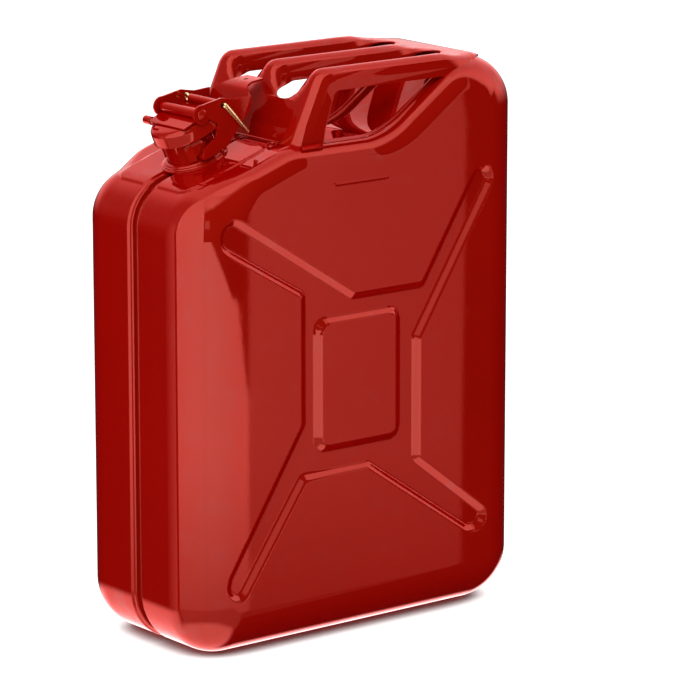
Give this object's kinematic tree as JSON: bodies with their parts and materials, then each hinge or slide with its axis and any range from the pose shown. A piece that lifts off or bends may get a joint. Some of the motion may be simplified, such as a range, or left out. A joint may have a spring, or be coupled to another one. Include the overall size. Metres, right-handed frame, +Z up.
{
  "type": "fuel can",
  "caption": "Pressed steel fuel can of two welded half-shells with crossed ribs, a three-bar carrying handle and a spout closed by a hinged cap and over-centre lever.",
  "frame": {"origin": "middle of the underside, where the can stands", "axes": "+Z up, +X along the can's width from the spout end to the rear of the handle, Y across its depth, the side with the split pin's legs towards -Y"},
  "size_m": [0.345, 0.165, 0.474],
  "materials": {
    "red_paint": "gloss",
    "sealing_rubber": "matte",
    "pin_brass": "drawn wire",
    "breather_steel": "satin"
  },
  "bodies": {
    "can": {"shell_near": "red_paint", "shell_far": "red_paint", "seam_weld": "red_paint", "handle_frame": "red_paint", "handle_liner_near": "red_paint", "handle_liner_middle": "red_paint", "handle_liner_far": "red_paint", "foot_tab_near": "red_paint", "foot_tab_far": "red_paint", "foot_bead": "red_paint", "seal_ring": "red_paint", "neck_tube": "red_paint", "neck_collar": "red_paint", "neck_bracket_near": "red_paint", "neck_bracket_far": "red_paint", "breather_tube": "breather_steel", "hinge_lug_near": "red_paint", "hinge_lug_far": "red_paint", "hinge_pin": "red_paint"},
    "cap": {"cap_cup": "red_paint", "cap_gasket": "sealing_rubber", "cap_yoke": "red_paint", "cap_curl": "red_paint", "cap_strap": "red_paint"},
    "lever": {"lever": "red_paint", "lever_pivot": "red_paint", "pin_tube": "red_paint"},
    "locking_pin": {"split_pin": "pin_brass"}
  },
  "joints": [
    {"name": "cap_hinge", "type": "hinge", "parent": "can", "child": "cap", "pos_m": [-0.09073, 0, 0.43058], "axis": [0, 1, 0], "range_deg": [0, 75]},
    {"name": "lever_throw", "type": "hinge", "parent": "cap", "child": "lever", "pos_m": [-0.12322, 0, 0.44173], "axis": [0, 1, 0], "range_deg": [-150, 0]},
    {"name": "pin_swing", "type": "hinge", "parent": "lever", "child": "locking_pin", "pos_m": [-0.10205, 0, 0.44766], "axis": [0, 1, 0], "range_deg": [-40, 60]}
  ],
  "couplings": [
    {"joint": "lever_throw", "follows": "cap_hinge", "ratio": -2}
  ]
}
